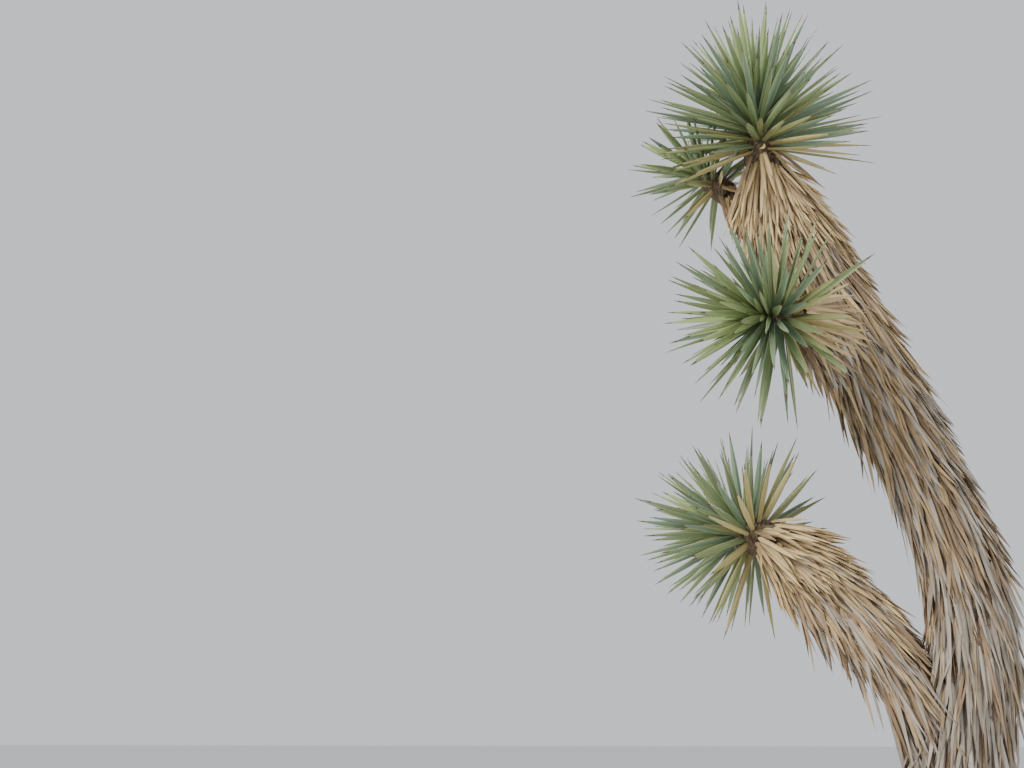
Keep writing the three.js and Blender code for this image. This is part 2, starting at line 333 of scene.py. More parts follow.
def blades(leaves, profile):
    """Many leaves as one set of arrays: points, triangles, the zone of each triangle and the grain of
    each point. Grain is across and along the leaf in millimetres, and the leaf's number."""
    along, half, sides, rise = (np.array(profile[key]) for key in ("along", "half", "across", "rise"))
    count, rows, columns = len(leaves["root"]), len(along), len(sides)

    length = leaves["length"][:, None, None]
    t = along[None, :, None]
    sweep = leaves["bend"][:, None, :]
    centre = leaves["root"][:, None, :] + length * (leaves["direction"][:, None, :] * t + sweep * t * t)
    tangent = unit(leaves["direction"][:, None, :] + 2 * sweep * t)
    wide = leaves["wide"][:, None, :] * np.ones_like(tangent)
    wide = unit(wide - tangent * np.sum(wide * tangent, axis=-1, keepdims=True))
    normal = np.cross(tangent, wide)
    turn = leaves["twist"][:, None, None] * t
    wide, normal = wide * np.cos(turn) + normal * np.sin(turn), normal * np.cos(turn) - wide * np.sin(turn)

    breadth = leaves["width"][:, None] / 2 * half[None, :]
    body = profile["thick"](along)
    offset_wide = breadth[:, :, None] * sides[None, None, :]
    lifted = np.where(rise < 0, rise * body[:, None], 0) + profile["cup"] * (sides**2)[None, :]
    offset_normal = breadth[:, :, None] * lifted[None, :, :] * leaves["cup"][:, None, None]
    ring = centre[:, :, None, :] + offset_wide[..., None] * wide[:, :, None, :]
    ring = ring + offset_normal[..., None] * normal[:, :, None, :]
    tip = leaves["root"] + leaves["length"][:, None] * (leaves["direction"] + leaves["bend"])
    points = np.concatenate([ring.reshape(count, rows * columns, 3), tip[:, None, :]], axis=1)

    pattern, zone = leaf_pattern(profile)
    per_leaf = rows * columns + 1
    starts = np.arange(count)[:, None, None] * per_leaf
    triangles = (pattern[None] + starts).reshape(-1, 3)
    grain = np.zeros((count, per_leaf, 3))
    grain[:, :-1, 0] = (MM * offset_wide).reshape(count, -1)
    grain[:, :-1, 1] = np.repeat(MM * leaves["length"][:, None] * along[None, :], columns, axis=1)
    grain[:, -1, 1] = MM * leaves["length"]
    grain[:, :, 2] = np.arange(count)[:, None]
    return points.reshape(-1, 3), triangles, np.tile(zone, count), grain.reshape(-1, 3)


# A leaf's profile: half its width at shares along it, and the ring of points round each of its rows by
# their place across it and their rise. The edge is at the columns margin, the spine starts at spine_row.

# A live leaf: concave above, convex below, with a narrow pale edge and a brown spine at its tip.
LIVE_PROFILE = {
    "along": (0.0, 0.05, 0.10, 0.18, 0.28, 0.38, 0.48, 0.58, 0.68, 0.77, 0.85, 0.915, 0.962, 0.985),
    "half": (2.3, 1.5, 1.0, 0.86, 0.90, 0.97, 1.0, 0.97, 0.85, 0.67, 0.46, 0.27, 0.12, 0.07),
    "across": (-1.0, -0.93, -0.45, 0.0, 0.45, 0.93, 1.0, 0.93, 0.55, 0.0, -0.55, -0.93),
    "rise": (0, 0, 0, 0, 0, 0, 0, -0.12, -0.62, -0.8, -0.62, -0.12),
    "thick": lambda along: 0.62 + 0.30 * np.exp(-along / 0.25) + 0.5 * np.clip((along - 0.9) / 0.1, 0, 1),
    "cup": 0.34,
    "margin": (0, 5, 6, 11),
    "spine_row": 11,
    "base_rows": 1,
}

# A dead leaf: thinner, its edges rolled in, on a broad base.
DEAD_PROFILE = {
    "along": (0.0, 0.08, 0.2, 0.36, 0.52, 0.68, 0.82, 0.94),
    "half": (0.4, 1.25, 0.98, 0.92, 0.95, 0.82, 0.55, 0.22),
    "across": (-1.0, 0.0, 1.0, 0.5, -0.5),
    "rise": (0, 0, 0, -0.42, -0.42),
    "thick": lambda along: 0.75 + 0.4 * np.exp(-along / 0.15),
    "cup": 0.5,
    "margin": (),
    "spine_row": 9,
    "base_rows": 0,
}


# The leaves.


def head_axis(head):
    limb = LIMBS[head["on"]]
    return bezier(limb, 1.0)[0], bezier_tangent(limb, 1.0)[0]


def spiral(rng, count, turn):
    """Angles round a stem by the golden angle, each turned off its place by chance."""
    return np.arange(count) * GOLDEN_ANGLE + rng.uniform(-turn, turn, count)


def head_leaves(head):
    """The live leaves of a head, youngest first, by the frame's rule: the golden angle round the stem,
    from nearly upright at its tip to bent back past square at its foot."""
    foot, axis = head_axis(head)
    count = head["leaves"]
    turn, lean_by, twist, grown_by = seeded(head["seed"], 4 * count).reshape(count, 4).T
    age = (np.arange(count) + 0.5) / count
    outward = outward_at(axis, np.arange(count) * GOLDEN_ANGLE + LIVE["turn"] * (2 * turn - 1))
    spread = 1 - math.cos(math.radians(LIVE["widest"]))
    lean = np.arccos(1 - age * spread) + LIVE["lean"] * (2 * lean_by - 1)
    direction = axis * np.cos(lean)[:, None] + outward * np.sin(lean)[:, None]
    direction = unit(direction + LIVE["sag"] * (age**2)[:, None] * DOWN)
    wide = np.cross(axis, outward)
    wide = unit(wide - direction * np.sum(wide * direction, axis=1, keepdims=True))
    grown = at_least(LIVE["youngest"], np.sin(math.pi * np.minimum(0.5, age)))
    first, last = LIVE["roots"]
    shortest, longest = LIVE["lengths"]
    rng = default_rng(head["seed"])
    return {
        "root": foot + axis * (head["stem"] * (first + (last - first) * age))[:, None],
        "direction": direction,
        "wide": twisted(wide, direction, LIVE["twist"] * (2 * twist - 1)),
        "length": head["length"] * grown * (shortest + (longest - shortest) * grown_by),
        "width": LEAF_WIDTH * rng.uniform(*LIVE["widths"], count),
        "bend": rng.normal(0, LIVE["bend"], (count, 3)),
        "twist": rng.uniform(-LIVE["curl"], LIVE["curl"], count),
        "cup": rng.uniform(*LIVE["cups"], count),
        "age": age,
    }


def bud_leaves(head):
    """The youngest leaves, still short, that stand close together at the tip of a head's stem."""
    rng = default_rng(head["seed"] + OWN_SEED["buds"])
    foot, axis = head_axis(head)
    count = head["leaves"] // BUDS["one_in"]
    age = (np.arange(count) + 0.5) / count
    outward = outward_at(axis, spiral(rng, count, BUDS["turn"]))
    upright, leaning = BUDS["lean"]
    sway = BUDS["sway"]
    lean = np.radians(upright + leaning * np.sqrt(age) + rng.uniform(-sway, sway, count))
    length, longer = BUDS["length"]
    width, wider = BUDS["width"]
    return {
        "root": foot + axis * (head["stem"] * (1.0 - BUDS["roots"] * age))[:, None],
        "direction": axis * np.cos(lean)[:, None] + outward * np.sin(lean)[:, None],
        "wide": np.cross(axis, outward),
        "length": head["length"] * (length + longer * age) * rng.uniform(*BUDS["lengths"], count),
        "width": LEAF_WIDTH * (width + wider * age),
        "bend": rng.normal(0, BUDS["bend"], (count, 3)),
        "twist": rng.uniform(-BUDS["curl"], BUDS["curl"], count),
        "cup": rng.uniform(*BUDS["cups"], count),
        "age": BUDS["oldest"] * age,
    }


def settled(own, root, direction, length, rise):
    """Directions turned so that no leaf's tip is sunk in a limb: each lies rise above its surface."""
    share = np.linspace(0, 1, LIMB_STEPS)
    leaf = np.arange(len(root))
    for _ in range(PUSH["rounds"]):
        tip = root + length[:, None] * direction
        deepest = np.zeros(len(root))
        push = np.zeros_like(root)
        most = np.zeros(len(root))
        for name, limb in LIMBS.items():
            away = tip[:, None] - bezier(limb, share)[None]
            distance = np.linalg.norm(away, axis=2)
            gap = distance - radius_at(limb, share) - rise[:, None]
            nearest = gap.argmin(axis=1)
            gap, away = gap[leaf, nearest], away[leaf, nearest] / distance[leaf, nearest][:, None]
            if name == own:
                gap += np.where(-gap > PUSH["flat"] * length, np.maximum(rise + PRESSED, 0), 0)
            deeper = gap < deepest
            deepest = np.where(deeper, gap, deepest)
            push = np.where(deeper[:, None], -gap[:, None] * away, push)
            most = np.where(deeper, PUSH["own" if name == own else "other"] * length, most)
        push[-deepest > most] = 0
        direction = unit(tip + push - root)
    return direction


def dead_shapes(rng, count, kind):
    """What chance gives dead leaves: their widths, bends, twists and cups."""
    return {
        "width": DEAD_LEAF_WIDTH * rng.uniform(*kind["widths"], count),
        "bend": rng.normal(0, kind["bend"], (count, 3)) + kind["sag"] * DOWN,
        "twist": rng.normal(0, kind["curl"], count),
        "cup": rng.uniform(*kind["cups"], count),
    }


def thatch_leaves(name, limb):
    """The dead leaves of a limb: back along the limb, pulled down by their weight and pressed together."""
    rng = default_rng(limb["seed"])
    thatch = limb["thatch"]
    is_trunk = name == "trunk"
    first, until = thatch["from"], THATCH["until"]
    count = thatch["count"] if is_trunk else int(thatch["count"] * (1 + COLLAR["more"]))
    share = first + (until - first) * (np.arange(count) + rng.random(count)) / thatch["count"]
    extra = np.flatnonzero(share > until)
    jitter = rng.uniform(-COLLAR["jitter"], COLLAR["jitter"], len(extra))
    share[extra] = np.linspace(COLLAR["from"], 1.0, len(extra)) + jitter
    tangent = bezier_tangent(limb, share)
    angle = spiral(rng, count, THATCH["turn"])
    outward = outward_at(tangent, angle)
    centre = bezier(limb, share)
    radius = limb_radius(name, share, angle, centre[:, 2])
    fresh = np.zeros(count) if is_trunk else smoothstep(*THATCH["fresh"], share)
    under = smoothstep(*HANGING["from"], outward @ DOWN)
    over = smoothstep(*HANGING["from"], -(outward @ DOWN))

    hanging = rng.random(count) < HANGING["anywhere"] + HANGING["under"] * under
    pull = rng.uniform(*thatch["pull"], count)
    pull += np.where(hanging, rng.uniform(*HANGING["pull"], count), 0)
    sideways = np.cross(outward, tangent) * rng.normal(0, THATCH["sideways"], count)[:, None]
    buried = THATCH_DEPTH + THATCH["rooted"] - HANGING["out"] * hanging
    root = centre + outward * (radius - buried)[:, None]

    tuft = smoothstep(*TUFTS["from"], smooth_noise(root, TUFTS["scale"], TUFTS["seed"]))
    length = thatch["length"] * rng.uniform(*THATCH["lengths"], count) * (1 - TUFTS["shorter"] * tuft)
    length *= np.where(hanging, rng.uniform(*HANGING["lengths"], count), 1)
    rise = rng.uniform(*THATCH["rise"], count)
    rise += THATCH["rise_fresh"] * fresh * (1 - THATCH["fresh_over"] * over) * rng.random(count)
    tufted = TUFTS["rise"] * tuft * rng.random(count)
    rise += tufted - THATCH["rise_under"] * under + THATCH["rise_over"] * over * (1 - fresh)
    rise -= thatch.get("worn", 0.0) * (1 - smoothstep(*THATCH["worn"], share))
    rise = np.maximum(-PRESSED, rise) + radius - radius_at(limb, share)
    direction = settled(name, root, unit(pull[:, None] * DOWN - tangent + sideways), length, rise)
    wide = unit(np.cross(direction, outward))
    return {
        "root": root,
        "direction": direction,
        "wide": twisted(wide, direction, rng.normal(0, THATCH["twist"], count)),
        "length": length,
        **dead_shapes(rng, count, THATCH),
        "share": share,
        "fresh": fresh,
    }


def skirt_leaves(head):
    """The newest dead leaves, straw-coloured, that hang behind the live leaves of a head."""
    rng = default_rng(head["seed"] + OWN_SEED["skirt"])
    foot, axis = head_axis(head)
    count = int(SKIRT["share"] * head["leaves"])
    outward = outward_at(axis, spiral(rng, count, SKIRT["turn"]))
    age = rng.random(count) ** SKIRT["more_old"]
    newest, older = SKIRT["lean"]
    lean = np.radians(newest + older * age)
    direction = axis * np.cos(lean)[:, None] + outward * np.sin(lean)[:, None]
    direction = unit(direction + rng.uniform(*SKIRT["pull"], count)[:, None] * DOWN)
    first, span = SKIRT["along"]
    along = first - span * age
    limb_tip = LIMBS[head["on"]]["radii"][-1]
    out = np.where(along < 0, limb_tip - SKIRT["on_limb"], SKIRT["on_stem"] * head["thick"])
    root = foot + axis * (head["stem"] * along)[:, None] + outward * out[:, None]
    length = head["length"] * rng.uniform(*SKIRT["lengths"], count)
    direction = settled(None, root, direction, length, rng.uniform(*SKIRT["rise"], count))
    return {
        "root": root,
        "direction": direction,
        "wide": unit(np.cross(direction, outward)),
        "length": length,
        **dead_shapes(rng, count, SKIRT),
        "share": np.ones(count),
        "fresh": np.ones(count),
    }


def chosen(leaves, keep):
    return {key: value[keep] for key, value in leaves.items()}


def joined(*several):
    return {key: np.concatenate([leaves[key] for leaves in several]) for key in several[0]}


def place_on(leaves, t):
    """The point at share t of every leaf's length."""
    run = leaves["direction"] * t + leaves["bend"] * t * t
    return leaves["root"] + leaves["length"][:, None] * run


def inside_others(points, own, depth):
    """True for each point under the ground, or more than depth inside a limb that isn't its own or the
    one that its own goes on from."""
    inside = points[:, 2] < CLEARANCE
    for name, limb in LIMBS.items():
        if name not in (own, LIMBS[own].get("goes_on_from")):
            share = np.linspace(limb["free_from"], 1, LIMB_STEPS)
            distance = np.linalg.norm(points[:, None] - bezier(limb, share)[None], axis=2)
            inside |= (distance - radius_at(limb, share)).min(axis=1) < -depth
    return inside


def clear_of_limbs(leaves, own):
    """The leaves that touch no limb but their own."""
    touching = [inside_others(place_on(leaves, t), own, CLEARANCE) for t in LIVE_TRIED]
    return chosen(leaves, ~np.any(touching, axis=0))


def cut_at_limbs(leaves, own):
    """Dead leaves end where they would run into another limb. Those left too short are dropped."""
    reach = np.ones(len(leaves["root"]))
    for t in np.linspace(*DEAD_TRIED)[::-1]:
        reach = np.where(inside_others(place_on(leaves, t), own, DEAD_SUNK), t, reach)
    leaves["length"] = leaves["length"] * reach
    return chosen(leaves, reach > SHORTEST_CUT)


# Materials.


def new_material(name):
    material = bpy.data.materials.new(name)
    material.use_nodes = True
    return material, material.node_tree.nodes, material.node_tree.links


def scaled(nodes, links, source, factors):
    stretch = nodes.new("ShaderNodeVectorMath")
    stretch.operation = "MULTIPLY"
    stretch.inputs[1].default_value = factors
    links.new(source, stretch.inputs[0])
    return stretch.outputs["Vector"]


def noise(nodes, links, source, scale, detail=4.0, roughness=0.55):
    made = nodes.new("ShaderNodeTexNoise")
    made.inputs["Scale"].default_value = scale
    made.inputs["Detail"].default_value = detail
    made.inputs["Roughness"].default_value = roughness
    links.new(source, made.inputs["Vector"])
    return made.outputs["Fac"]


def ramp(nodes, links, source, stops):
    made = nodes.new("ShaderNodeValToRGB")
    elements = made.color_ramp.elements
    while len(elements) < len(stops):
        elements.new(0.5)
    for element, (position, colour) in zip(elements, stops):
        element.position = position
        element.color = (*colour, 1.0)
    links.new(source, made.inputs["Fac"])
    return made.outputs["Color"]


def mixed(nodes, links, kind, factor, first, second):
    made = nodes.new("ShaderNodeMix")
    made.data_type = "RGBA"
    made.blend_type = kind
    made.clamp_factor = True
    if isinstance(factor, float):
        made.inputs["Factor"].default_value = factor
    else:
        links.new(factor, made.inputs["Factor"])
    links.new(first, made.inputs["A"])
    links.new(second, made.inputs["B"])
    return made.outputs["Result"]


def tint(colour, factor):
    return tuple(min(1.0, c * factor) for c in colour)


def bumped(nodes, links, shader, height, strength, distance):
    bump = nodes.new("ShaderNodeBump")
    bump.inputs["Strength"].default_value = strength
    bump.inputs["Distance"].default_value = distance
    links.new(height, bump.inputs["Height"])
    links.new(bump.outputs["Normal"], shader.inputs["Normal"])


# The look of every leaf. Fibres are scaled by millimetres across and along it and by its number.
LEAF_LOOK = {
    "fibres": (1.3, 0.035, 7.3), "streaks": (0.3, 0.7),
    "blotches": 38.0, "blotch_detail": 5.0, "blotch_edge": (0.56, 0.70),
    "lightness": (0.78, 1.2), "bump": 0.0006,
}


def leaf_material(name, colour, roughness, contrast, spots, spot_colour, streak_bump):
    """Fine fibres along the leaf, soft blotches, and each leaf a little lighter or darker than the next."""
    material, nodes, links = new_material(name)
    shader = nodes["Principled BSDF"]
    grain = nodes.new("ShaderNodeAttribute")
    grain.attribute_name = "grain"
    place = nodes.new("ShaderNodeNewGeometry").outputs["Position"]
    fibres = noise(nodes, links, scaled(nodes, links, grain.outputs["Vector"], LEAF_LOOK["fibres"]), 1.0)
    dark, light = LEAF_LOOK["streaks"]
    stops = [(dark, tint(colour, 1 - contrast)), (light, tint(colour, 1 + contrast))]
    streaks = ramp(nodes, links, fibres, stops)
    blotches = noise(nodes, links, place, LEAF_LOOK["blotches"], LEAF_LOOK["blotch_detail"])
    clean, spotted = LEAF_LOOK["blotch_edge"]
    spotting = ramp(nodes, links, blotches, [(clean, (0, 0, 0)), (spotted, (spots, spots, spots))])
    spot = nodes.new("ShaderNodeRGB")
    spot.outputs[0].default_value = (*spot_colour, 1.0)
    painted = mixed(nodes, links, "MIX", spotting, streaks, spot.outputs[0])
    number = nodes.new("ShaderNodeSeparateXYZ")
    links.new(grain.outputs["Vector"], number.inputs[0])
    dice = nodes.new("ShaderNodeTexWhiteNoise")
    dice.noise_dimensions = "1D"
    links.new(number.outputs["Z"], dice.inputs["W"])
    lightness = nodes.new("ShaderNodeMapRange")
    darkest, lightest = LEAF_LOOK["lightness"]
    lightness.inputs["To Min"].default_value = darkest
    lightness.inputs["To Max"].default_value = lightest
    links.new(dice.outputs["Value"], lightness.inputs["Value"])
    shaded = nodes.new("ShaderNodeHueSaturation")
    links.new(lightness.outputs["Result"], shaded.inputs["Value"])
    links.new(painted, shaded.inputs["Color"])
    links.new(shaded.outputs["Color"], shader.inputs["Base Color"])
    shader.inputs["Roughness"].default_value = roughness
    bumped(nodes, links, shader, fibres, streak_bump, LEAF_LOOK["bump"])
    return material


# Each leaf material: its colour, roughness, the contrast of its fibres, how much its spots show, their
# colour, and how far its fibres stand out.
YOUNG, GREEN, BLUE_GREEN, OLIVE, YELLOWING = range(5)
GREEN_LEAVES = [
    leaf_material("leaf_young_green", (0.205, 0.275, 0.105), 0.50, 0.10, 0.10, (0.30, 0.28, 0.12), 0.25),
    leaf_material("leaf_green", (0.150, 0.205, 0.088), 0.52, 0.12, 0.15, (0.26, 0.23, 0.10), 0.3),
    leaf_material("leaf_blue_green", (0.125, 0.190, 0.115), 0.54, 0.12, 0.15, (0.24, 0.23, 0.13), 0.3),
    leaf_material("leaf_olive", (0.190, 0.205, 0.080), 0.55, 0.14, 0.25, (0.30, 0.22, 0.09), 0.35),
    leaf_material("leaf_yellowing", (0.330, 0.275, 0.110), 0.60, 0.18, 0.45, (0.26, 0.17, 0.075), 0.4),
]
LEAF_EDGE = leaf_material("leaf_edge", (0.36, 0.35, 0.17), 0.6, 0.12, 0.1, (0.30, 0.22, 0.10), 0.2)
LEAF_BASE = leaf_material("leaf_base", (0.50, 0.46, 0.30), 0.6, 0.12, 0.2, (0.34, 0.25, 0.12), 0.2)
LEAF_SPINE = leaf_material("leaf_spine", (0.085, 0.042, 0.022), 0.45, 0.25, 0.1, (0.03, 0.02, 0.015), 0.2)

STRAW, TAN, BROWN, GREY, GREY_BROWN = range(5)
DEAD_LEAVES = [
    leaf_material("dead_straw", (0.455, 0.340, 0.175), 0.72, 0.22, 0.35, (0.26, 0.17, 0.085), 0.5),
    leaf_material("dead_tan", (0.335, 0.235, 0.125), 0.78, 0.25, 0.4, (0.16, 0.105, 0.06), 0.6),
    leaf_material("dead_brown", (0.215, 0.145, 0.085), 0.82, 0.28, 0.4, (0.10, 0.07, 0.045), 0.6),
    leaf_material("dead_grey", (0.30, 0.262, 0.215), 0.86, 0.24, 0.45, (0.15, 0.125, 0.10), 0.7),
    leaf_material("dead_grey_brown", (0.205, 0.172, 0.135), 0.88, 0.26, 0.45, (0.09, 0.075, 0.06), 0.7),
]

# The look of bark and of the fibrous core under the thatch: the colours in the furrows, low and high, the
# relief's heights where they are reached, and the patches and the corky grain.
# The first, darkest colour of each is painted shade, in the furrows of the bark and between the core's
# scales.
BARK_COLOURS_WITH_FURROW_SHADE = ((0.045, 0.029, 0.020), (0.126, 0.090, 0.065), (0.208, 0.174, 0.144))
CORE_COLOURS_WITH_GAP_SHADE = ((0.030, 0.021, 0.014), (0.095, 0.066, 0.042), (0.160, 0.120, 0.080))
BARK_LOOK = {
    "heights": (0.04, 0.26, 0.72),
    "patches": {"scale": 9.0, "detail": 6.0, "roughness": 0.6},
    "patch_stops": [(0.35, (0.72, 0.66, 0.60)), (0.65, (1.0, 1.0, 1.0))],
    "cork_stretch": (1.0, 1.0, 1.9),
    "cork": {"detail": 6.0, "roughness": 0.7},
    "cork_stops": [(0.35, (0.62, 0.60, 0.58)), (0.62, (1.08, 1.05, 1.0))],
    "roughness": 0.93,
    "bump": (0.7, 0.0025),
}


def bark_material(name, colours, grain_scale):
    """Corky bark by the mesh's own relief: painted shade in the furrows, worn and greyer on the plates."""
    material, nodes, links = new_material(name)
    shader = nodes["Principled BSDF"]
    relief = nodes.new("ShaderNodeAttribute")
    relief.attribute_name = "relief"
    place = nodes.new("ShaderNodeNewGeometry").outputs["Position"]
    colour_and_shade_by_height = ramp(nodes, links, relief.outputs["Fac"], list(zip(BARK_LOOK["heights"], colours)))
    patches = noise(nodes, links, place, **BARK_LOOK["patches"])
    patched = ramp(nodes, links, patches, BARK_LOOK["patch_stops"])
    toned = mixed(nodes, links, "MULTIPLY", 1.0, colour_and_shade_by_height, patched)
    stretched = scaled(nodes, links, place, BARK_LOOK["cork_stretch"])
    cork = noise(nodes, links, stretched, grain_scale, **BARK_LOOK["cork"])
    grained = ramp(nodes, links, cork, BARK_LOOK["cork_stops"])
    links.new(mixed(nodes, links, "MULTIPLY", 1.0, toned, grained), shader.inputs["Base Color"])
    shader.inputs["Roughness"].default_value = BARK_LOOK["roughness"]
    bumped(nodes, links, shader, cork, *BARK_LOOK["bump"])
    return material


BARK = bark_material("corky_bark", BARK_COLOURS_WITH_FURROW_SHADE, 140.0)
CORE = bark_material("fibrous_core", CORE_COLOURS_WITH_GAP_SHADE, 90.0)


# The limbs.

UNEVENNESS = 0.028
ROOT_FLARE = {"reach": 0.150, "spread": 0.34, "lobes": 5, "lobe_share": 0.3, "turn": 0.7}

# The trunk's main ridges of bark, as in the frame. They thin out between two shares of the trunk.
RIDGES = {
    "count": 8, "height": 0.018, "mean": 0.7, "thins": (0.45, 0.9),
    "swell": 0.25, "swell_length": 0.250, "swell_step": 2.4,
    "wind": 0.3, "wind_length": 0.820,
}


def wound(angle, height):
    """The angle round the trunk counted from a ridge that winds as it rises."""
    return angle - RIDGES["wind"] * np.sin(math.tau * height / RIDGES["wind_length"])


def ridge_profile(angle, height):
    """The main ridges: 0 in the furrow between two of them and 1 on the crest of one that swells."""
    around = wound(angle, height) / math.tau * RIDGES["count"]
    ridge = np.floor(around)
    across_ridge = np.sqrt(np.clip(np.sin(math.pi * (around - ridge)), 0, 1))
    swell = np.sin(math.tau * height / RIDGES["swell_length"] + RIDGES["swell_step"] * ridge)
    return across_ridge * (1 - RIDGES["swell"] + RIDGES["swell"] * swell)


def limb_radius(name, share, angle, height):
    """The frame's radius of a limb: a little uneven, and flared at the foot of the trunk."""
    limb = LIMBS[name]
    uneven = np.sin(3 * angle + 9 * share + limb["seed"]) + np.sin(2 * angle - 17 * share)
    radius = radius_at(limb, share) * (1 + UNEVENNESS * uneven)
    if name == "trunk":
        lobes = 1 + ROOT_FLARE["lobe_share"] * np.cos(ROOT_FLARE["lobes"] * angle + ROOT_FLARE["turn"])
        radius = radius * (1 + ROOT_FLARE["spread"] * np.exp(-height / ROOT_FLARE["reach"]) * lobes)
        bare = 1 - smoothstep(*RIDGES["thins"], share)
        radius = radius + RIDGES["height"] * bare * (ridge_profile(angle, height) - RIDGES["mean"])
    return radius


def tube_places(shares, columns):
    """The share and the angle of every point of a tube, row by row."""
    share, angle = np.meshgrid(shares, np.arange(columns) / columns * math.tau, indexing="ij")
    return share.ravel(), angle.ravel()


def relief_tube(name, shares, columns, relief, material, piece):
    """A closed tube along a limb, its surface set in or out by a rule for the bark or the core."""
    limb = LIMBS[name]
    share, angle = tube_places(shares, columns)
    centre = bezier(limb, share)
    outward = outward_at(bezier_tangent(limb, share), angle)
    radius = limb_radius(name, share, angle, centre[:, 2])
    offset, height = relief(share, angle, centre[:, 2], centre + outward * radius[:, None])
    points = centre + outward * (radius + offset)[:, None]
    if name == "trunk":
        points[:columns, 2] = 0.0
    ends = bezier(limb, shares[[0, -1]])
    return closed_tube(piece, points, len(shares), columns, ends, np.append(height, [0.0, 0.0]), material)


BARK_TOP = LIMBS["trunk"]["thatch"]["from"]
BARK_ENDS = BARK_TOP + 0.10  # the share of the trunk where the bark has sunk to the core under the thatch
TRUNK_WIDTH = 0.125  # a mean radius, for laying the bark's pattern out round the trunk

# How deep the bark is from its worn faces to the bottom of its furrows, the shares of that up high and
# under the thatch, the height by which it fades, and the level in it that lies on the frame's surface.
BARK_DEPTH = 0.015
BARK_UP_HIGH = 0.65
BARK_UNDER_THATCH = 0.35
BARK_FADE = 0.5
BARK_LEVEL = 0.62

# The cracks of the bark: long furrows that part and join again, finer splits along and cracks across them.
# Least is what is left of the bark's height in a crack.
CRACKS = {
    "furrow": {"stretch": (1.0, 1.0, 0.18), "scale": 66.0, "width": 0.24, "seed": 7, "least": 0.0},
    "branch": {"stretch": (1.0, 1.0, 0.20), "scale": 74.0, "width": 0.22, "seed": 11, "least": 0.0},
    "split": {"stretch": (1.0, 1.0, 0.30), "scale": 150.0, "width": 0.30, "seed": 12, "least": 0.66},
    "cross": {"stretch": (0.5, 0.5, 1.0), "scale": 120.0, "width": 0.20, "seed": 3, "least": 0.55},
}

# Their pattern is warped, and the plates between them are flaky and swell a little.
WARP = {"by": 0.006, "scale": 45.0, "seeds": (5, 6, 4)}
FLAKES = {"stretch": (1.0, 1.0, 0.6), "scale": 260.0, "seed": 8, "mean": 0.5, "swing": 0.4, "least": 0.76}
SWELLS = {"by": 0.0015, "scale": 20.0, "seed": 9}
VALLEY_SHADE = {"from": (0.05, 0.75), "least": 0.35}  # painted shade, darker between two main ridges


def crack(points, kind):
    """The height that a kind of crack leaves of the bark, 1 beside it."""
    made = CRACKS[kind]
    away = np.abs(smooth_noise(points * np.array(made["stretch"]), made["scale"], made["seed"]))
    return at_least(made["least"], smoothstep(0.0, made["width"], away))


def bark_relief(share, angle, up, surface):
    """Corky bark on the main ridges, cracked into rough plates, down to the core that carries the thatch."""
    turned = wound(angle, up)
    place = np.c_[TRUNK_WIDTH * np.cos(turned), TRUNK_WIDTH * np.sin(turned), up]
    shifts = [smooth_noise(place, WARP["scale"], seed) for seed in WARP["seeds"]]
    place = place + WARP["by"] * np.stack(shifts, axis=1)
    furrow = np.minimum(crack(place, "furrow"), crack(place, "branch"))
    plate = furrow * crack(place, "split") * crack(place, "cross")
    flaky = smooth_noise(place * np.array(FLAKES["stretch"]), FLAKES["scale"], FLAKES["seed"])
    height = plate * at_least(FLAKES["least"], FLAKES["mean"] + FLAKES["swing"] * flaky)
    bare = 1 - smoothstep(BARK_TOP, BARK_ENDS, share)
    depth = BARK_DEPTH * at_least(BARK_UP_HIGH, np.exp(-up / BARK_FADE)) * at_least(BARK_UNDER_THATCH, bare)
    swells = SWELLS["by"] * smooth_noise(place, SWELLS["scale"], SWELLS["seed"])
    offset = (height - BARK_LEVEL) * depth + swells - THATCH_DEPTH * (1 - bare)
    # Between two main ridges the height that picks the colour is lowered, which paints shade there.
    crest = smoothstep(*VALLEY_SHADE["from"], ridge_profile(angle, up))
    return offset, height * at_least(VALLEY_SHADE["least"], crest)


# The leaf bases that cover a limb's core: how many go round it, the rows' spacing, and how each is jittered
# by a table with rows enough for the tallest limb.
SCALES = {
    "round": 22, "row": 0.020, "row_shift": 0.5,
    "table": 512, "seed": 17, "inset": 0.05, "jitter": 0.9,
    "height": 0.006, "least": 0.6, "sharpness": 1.2,
    "uneven": 0.001, "uneven_scale": 40.0, "uneven_seed": 19,
}


def cells(u, v):
    """The distance to the nearest of a jittered grid of points, and that point's own number. U runs
    round the limb in whole cells and v up it."""
    columns, rows = SCALES["round"], SCALES["table"]
    table = default_rng(SCALES["seed"]).random((3, rows, columns))
    column, row = np.floor(u).astype(int), np.floor(v).astype(int)
    nearest = np.full(u.shape, np.inf)
    number = np.zeros(u.shape)
    for i in (-2, -1, 0, 1, 2):
        for j in (-1, 0, 1):
            c, r = column + i, row + j
            pick = (np.mod(r, rows), np.mod(c, columns))
            shift = SCALES["row_shift"] * np.mod(r, 2)
            du = c + SCALES["inset"] + SCALES["jitter"] * table[0][pick] + shift - u
            dv = r + SCALES["inset"] + SCALES["jitter"] * table[1][pick] - v
            distance = np.sqrt(du**2 + dv**2)
            number = np.where(distance < nearest, table[2][pick], number)
            nearest = np.minimum(nearest, distance)
    return nearest, number


def core_relief(share, angle, up, surface):
    """The broad bases of shed leaves, as overlapping scales in spiral rows."""
    nearest, number = cells(angle / math.tau * SCALES["round"], up / SCALES["row"])
    height = np.clip(1 - nearest * SCALES["sharpness"], 0, 1) * at_least(SCALES["least"], number)
    uneven = SCALES["uneven"] * smooth_noise(surface, SCALES["uneven_scale"], SCALES["uneven_seed"])
    # The height also picks the core's colour, so the gaps between the scales get painted shade.
    return height * SCALES["height"] - THATCH_DEPTH + uneven, height


